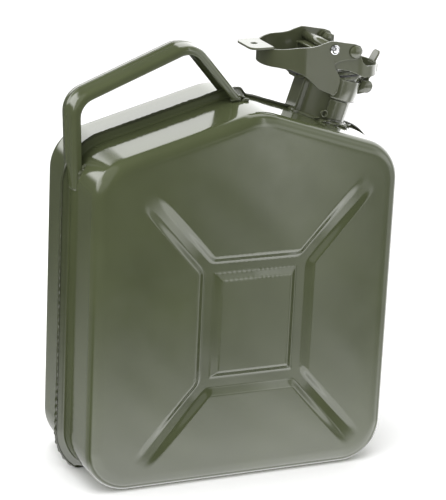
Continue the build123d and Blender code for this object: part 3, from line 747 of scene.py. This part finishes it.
turn = np.radians(np.linspace(-105, -63, 24))[None, :]
level = np.linspace(-31.5, -17.8, 14)[:, None]
plate = on_neck(21.2, turn, level)
ring_turn = np.linspace(0, 2 * np.pi, 28, endpoint=False)
tube_turn = np.linspace(0, 2 * np.pi, 12, endpoint=False)
ring_u = (2.3 + 0.8 * np.cos(tube_turn[None, :])) * np.cos(ring_turn[:, None])
ring_w = (2.3 + 0.8 * np.cos(tube_turn[None, :])) * np.sin(ring_turn[:, None])
eyelet = MOUTH + (-6.6 + ring_u)[..., None] * NECK_SIDE + (-29.2 + ring_w)[..., None] * NECK_AXIS
ring_y = -20.9 + 0.8 * np.sin(tube_turn[None, :]) + 0 * ring_u
eyelet = eyelet + ring_y[..., None] * np.array([0, 1, 0])
sheet_piece("seal_plate", [plate], "can", 1.4, ["seal_bracket"], 0.3)
make_piece("seal_eyelet", [(eyelet, grid_faces(28, 12, True, True))], "can", fitting_paint)

# %% [markdown]
# Pins and rivets are turned shapes: a profile of distance along the axis against radius, spun round.

# %% Press pin and pivot rivets
def turned(x, z, profile):
    """Rings about an axis across the can: radius against distance along it."""
    turn = np.linspace(0, 2 * np.pi, 40, endpoint=False)
    y, radius = np.array(profile).T
    return closure(x + radius[:, None] * np.cos(turn), y[:, None] + 0 * turn,
                   z + radius[:, None] * np.sin(turn))


PRESS_PIN = (-12.0, 21.6)
sleeve = turned(*PRESS_PIN, [(-22.6, 2.6), (-22.6, 3.4), (22.6, 3.4), (22.6, 2.6)])
make_piece("press_pin_sleeve", [(sleeve, grid_faces(*sleeve.shape[:2], wrap_rows=True, wrap_cols=True))],
           "lever", fitting_paint)
half_pin = [(-28.9, 0.01), (-28.8, 1.0), (-28.4, 1.8), (-27.8, 2.35), (-27.0, 2.6), (-26.7, 2.6),
            (-26.65, 3.3), (-26.5, 3.5), (-25.9, 3.5), (-25.75, 3.3), (-25.7, 2.55)]
pin_profile = half_pin + [(-y, r) for y, r in half_pin[::-1]]
grid = turned(*PRESS_PIN, pin_profile)
make_piece("press_pin_turned", [(grid, grid_faces(*grid.shape[:2], wrap_cols=True))], "lever", zinc,
           ["press_pin"])
for name, side in (("front_pivot_rivet", -1), ("back_pivot_rivet", 1)):
    dome = [(25.75 + 0.5 + 2.1 * np.cos(a), 4.6 * np.sin(a)) for a in np.radians(np.linspace(0, 90, 14))]
    profile = [(17.6, 0.01), (17.6, 3.6), (19.6, 3.6), (19.7, 2.4), (25.7, 2.4), (25.75, 4.4)]
    profile += dome[::-1]
    profile = [(side * y, max(r, 0.01)) for y, r in profile]
    grid = turned(4.2, 19.1, profile)
    make_piece(name + "_dome", [(grid, grid_faces(*grid.shape[:2], wrap_cols=True))], "lid",
               fitting_paint, [name])

# %% [markdown]
# The set is a plain pale floor under soft light.  Lamps and an even sky light the can.  Only shiny
# reflections see the sky as bright cards, each placed by direction: a wide panel behind for the top
# slopes, a band and a low card for the face, and dark elsewhere so the paint keeps its depth.

# %% Floor, light and camera
def floor_material():
    material, nodes, links, shader, place = new_material("floor_paper")
    tone = noise(nodes, links, place, 3.0, 2.0)
    paper = ramp(nodes, links, tone, [(0.3, (0.86,) * 3), (0.7, (0.90,) * 3)])
    links.new(paper, shader.inputs["Base Color"])
    shader.inputs["Roughness"].default_value = 0.7
    return material


floor_mesh = bpy.data.meshes.new("floor")
floor_mesh.from_pydata([(-3, -1.2, 0), (3, -1.2, 0), (3, 4, 0), (-3, 4, 0)], [], [(0, 1, 2, 3)])
floor = bpy.data.objects.new("floor", floor_mesh)
bpy.context.scene.collection.objects.link(floor)
floor_mesh.materials.append(floor_material())

BACK_PANEL, BAND_CARD, LOW_CARD, CREST_CARD = 2.8, 3.1, 3.9, 1.4
UNDER_CARD, LEFT_CARD, DARK_ROOM = 1.5, 0.7, 0.10


def panel_light(name, place, target, size, power):
    """Square soft light: it stands at place and faces target."""
    data = bpy.data.lights.new(name, "AREA")
    data.shape = "RECTANGLE"
    data.size, data.size_y = size
    data.energy = power
    light = bpy.data.objects.new(name, data)
    light.location = place
    light.rotation_euler = (Vector(target) - Vector(place)).to_track_quat("-Z", "Y").to_euler()
    bpy.context.scene.collection.objects.link(light)
    light.visible_glossy = False
    return light


panel_light("top_panel", (-0.3, -0.2, 1.8), (0, 0, 0.1), (1.6, 1.4), 26)
panel_light("left_panel", (-1.6, -0.9, 1.0), (0, 0, 0.15), (0.9, 1.0), 9)
floor.visible_glossy = False

world = bpy.data.worlds.new("studio")
bpy.context.scene.world = world
world.use_nodes = True
tree = world.node_tree


def world_math(kind, a, b):
    node = tree.nodes.new("ShaderNodeMath")
    node.operation = kind
    for socket, value in zip(node.inputs, (a, b)):
        if isinstance(value, (int, float)):
            socket.default_value = value
        else:
            tree.links.new(value, socket)
    return node.outputs["Value"]


def world_rise(value, low, high, start=0.0, end=1.0):
    """Smooth change from start to end while a direction's share grows from low to high."""
    node = tree.nodes.new("ShaderNodeMapRange")
    node.interpolation_type = "SMOOTHSTEP"
    for socket, number in (("From Min", low), ("From Max", high), ("To Min", start), ("To Max", end)):
        node.inputs[socket].default_value = number
    tree.links.new(value, node.inputs["Value"])
    return node.outputs["Result"]


def times(a, b):
    return world_math("MULTIPLY", a, b)


def plus(a, b):
    return world_math("ADD", a, b)


direction = tree.nodes.new("ShaderNodeTexCoord")
split = tree.nodes.new("ShaderNodeSeparateXYZ")
tree.links.new(direction.outputs["Generated"], split.inputs["Vector"])
along_x, along_y, along_z = split.outputs
front = world_rise(along_y, -0.5, -0.1, 1.0, 0.0)
behind = world_rise(along_y, -0.1, 0.3)

# The wide panel behind lights the top slopes and the lid, but not the handle's web.
past = world_math("MAXIMUM", world_math("SUBTRACT", along_x, 0.3), 0.0)
height = plus(along_z, times(past, 1.5))
shade = world_math("MAXIMUM", world_rise(along_z, 0.43, 0.48, 1.0, 0.0), world_rise(along_x, 0.08, 0.15))
above = times(world_rise(height, 0.09, 0.2), shade)
back_panel = times(times(behind, above), BACK_PANEL)

# In front: an upright band, a low card and a thin card for the upper rolled edge.
band = times(world_rise(along_x, 0.375, 0.41), world_rise(along_x, 0.42, 0.45, 1.0, 0.2))
band = times(band, world_rise(along_z, -0.36, -0.24, 0.3, 1.0))
low_card = world_rise(along_z, -0.42, -0.33, 1.0, 0.0)
crest = times(world_rise(along_z, -0.14, 0.0), world_rise(along_z, 0.12, 0.35, 1.0, 0.3))
crest = times(crest, world_rise(along_x, 0.28, 0.38))
cards = plus(times(band, BAND_CARD), times(low_card, LOW_CARD))
cards = times(plus(cards, times(crest, CREST_CARD)), front)

# To the right, below, and to the left: small cards for the slopes of the pattern and the neck.
side_card = times(world_rise(along_x, 0.6, 0.75), world_rise(along_y, 0.1, 0.4, 1.0, 0.0))
under = times(world_rise(along_z, -0.75, -0.55, 1.0, 0.0), world_rise(along_y, -0.5, -0.4))
cards = plus(cards, plus(side_card, times(under, UNDER_CARD)))
left_low = times(world_rise(along_z, -0.42, -0.30, 1.0, 0.0), behind)
left_card = times(world_rise(along_x, -0.42, -0.25, 1.0, 0.0), world_rise(along_z, 0.05, 0.2))
seen = plus(plus(back_panel, cards), times(left_low, LEFT_CARD))
seen = plus(seen, times(left_card, LEFT_CARD))
seen = plus(seen, DARK_ROOM)
rays = tree.nodes.new("ShaderNodeLightPath")
mix = tree.nodes.new("ShaderNodeMix")
tree.links.new(rays.outputs["Is Glossy Ray"], mix.inputs["Factor"])
mix.inputs["A"].default_value = 1.0
tree.links.new(seen, mix.inputs["B"])
tree.links.new(mix.outputs["Result"], tree.nodes["Background"].inputs["Strength"])
tree.nodes["Background"].inputs["Color"].default_value = (1, 1, 1, 1)
bpy.context.scene.view_settings.view_transform = "Standard"

AZIMUTH, ELEVATION, ROLL = np.radians([23.955, 18.209, 2.688])
DISTANCE, FOCUS = 1.6, 2216.9
target = Vector((0.00271, 0, 0.15661))
toward = Vector((-np.sin(AZIMUTH) * np.cos(ELEVATION), -np.cos(AZIMUTH) * np.cos(ELEVATION),
                 np.sin(ELEVATION)))
ahead = -toward
right = ahead.cross(Vector((0, 0, 1))).normalized()
up = right.cross(ahead)
right, up = (np.cos(ROLL) * right + np.sin(ROLL) * up), (np.cos(ROLL) * up - np.sin(ROLL) * right)
camera_data = bpy.data.cameras.new("camera")
camera_data.sensor_width = 36.0
camera_data.lens = FOCUS / 500 * 36.0
camera = bpy.data.objects.new("camera", camera_data)
turn = Matrix((right, up, toward)).transposed().to_4x4()
camera.matrix_world = Matrix.Translation(target + toward * DISTANCE) @ turn
bpy.context.scene.collection.objects.link(camera)
bpy.context.scene.camera = camera
print("camera at", [round(v, 3) for v in camera.location])
